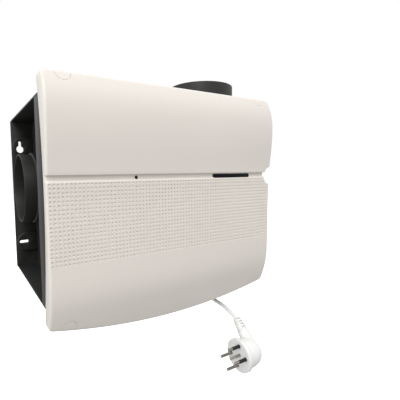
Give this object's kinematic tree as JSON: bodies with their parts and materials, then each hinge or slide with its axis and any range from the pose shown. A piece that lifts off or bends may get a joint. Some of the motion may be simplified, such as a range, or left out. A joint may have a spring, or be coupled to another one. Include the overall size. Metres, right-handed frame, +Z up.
{
  "type": "wall-hung heat recovery unit",
  "caption": "Wall-hung heat recovery ventilation unit: white bowed front cover on a black casing, duct spigots, exchanger core, filters, fans and a short lead with a plug.",
  "frame": {"origin": "middle of the back panel's wall face", "axes": "+X right along the wall seen from the front, +Y into the wall, +Z up"},
  "size_m": [0.398, 0.3389, 0.5115],
  "materials": {
    "cover_white": "satin",
    "window_black": "gloss",
    "led_clear": "gloss",
    "board_green": "satin",
    "casing_black": "satin",
    "screw_steel": "satin",
    "foam_grey": "matte",
    "core_film": "satin",
    "core_frame": "satin",
    "strap_webbing": "matte",
    "filter_card": "matte",
    "filter_fleece": "matte",
    "filter_cap_grey": "satin",
    "fan_motor_black": "satin",
    "impeller_grey": "satin",
    "component_dark": "satin",
    "terminal_beige": "matte",
    "gland_grey": "satin",
    "cord_white": "satin",
    "pin_metal": "polished",
    "sleeve_black": "matte"
  },
  "bodies": {
    "housing": {"back_panel": "casing_black", "board_components": "component_dark", "bottom_panel": "casing_black", "bottom_partition": "foam_grey", "cable_gland": "gland_grey", "condensate_tray": "casing_black", "control_board": "board_green", "control_tray": "casing_black", "corner_posts": "casing_black", "drain_spout": "casing_black", "earth_blade": "pin_metal", "exhaust_fan_duct": "casing_black", "exhaust_fan_motor": "fan_motor_black", "exhaust_socket": "casing_black", "filter_rails": "casing_black", "front_panel": "casing_black", "gland_nut": "gland_grey", "humidity_sensor": "component_dark", "intake_socket": "casing_black", "left_flange": "casing_black", "left_partition": "foam_grey", "left_spigot": "casing_black", "left_wall": "casing_black", "mains_cord": "cord_white", "panel_screws": "screw_steel", "pin_sleeves": "sleeve_black", "plug_body": "cord_white", "plug_pins": "pin_metal", "plug_strain_relief": "cord_white", "rear_foam_block": "foam_grey", "right_partition": "foam_grey", "right_wall": "casing_black", "stud_cups": "casing_black", "supply_fan_duct": "casing_black", "supply_fan_motor": "fan_motor_black", "terminal_block": "terminal_beige", "top_panel": "casing_black", "top_partition": "foam_grey", "top_spigot": "casing_black"},
    "cover": {"front_cover": "cover_white", "cover_corner_caps": "cover_white", "cover_studs": "cover_white", "display_window": "window_black", "status_led": "led_clear", "display_board": "board_green"},
    "exchanger_core": {"core_plates": "core_film", "core_spacers": "core_film", "core_end_plates": "core_frame", "core_corner_rails": "core_frame", "core_cap": "foam_grey", "core_pull_strap": "strap_webbing"},
    "extract_filter": {"extract_filter_frame": "filter_card", "extract_filter_media": "filter_fleece", "extract_filter_cap": "filter_cap_grey"},
    "intake_filter": {"intake_filter_frame": "filter_card", "intake_filter_media": "filter_fleece", "intake_filter_cap": "filter_cap_grey"},
    "supply_rotor": {"supply_fan_impeller": "impeller_grey"},
    "exhaust_rotor": {"exhaust_fan_impeller": "impeller_grey"}
  },
  "joints": [
    {"name": "cover_slide", "type": "slide", "parent": "housing", "child": "cover", "axis": [0, -1, 0], "range_m": [0, 0.4]},
    {"name": "core_slide", "type": "slide", "parent": "housing", "child": "exchanger_core", "axis": [0, -1, 0], "range_m": [0, 0.22]},
    {"name": "extract_filter_slide", "type": "slide", "parent": "housing", "child": "extract_filter", "axis": [0, -1, 0], "range_m": [0, 0.22]},
    {"name": "intake_filter_slide", "type": "slide", "parent": "housing", "child": "intake_filter", "axis": [0, -1, 0], "range_m": [0, 0.22]},
    {"name": "supply_fan_spin", "type": "hinge", "parent": "housing", "child": "supply_rotor", "pos_m": [0.132, -0.1806, 0.11], "axis": [0, 0, 1], "continuous": true},
    {"name": "exhaust_fan_spin", "type": "hinge", "parent": "housing", "child": "exhaust_rotor", "pos_m": [0.118, -0.075, -0.08], "axis": [0, 1, 0], "continuous": true}
  ],
  "couplings": [
    {"joint": "core_slide", "follows": "cover_slide", "ratio": 0.55},
    {"joint": "extract_filter_slide", "follows": "cover_slide", "ratio": 0.55},
    {"joint": "intake_filter_slide", "follows": "cover_slide", "ratio": 0.55}
  ]
}
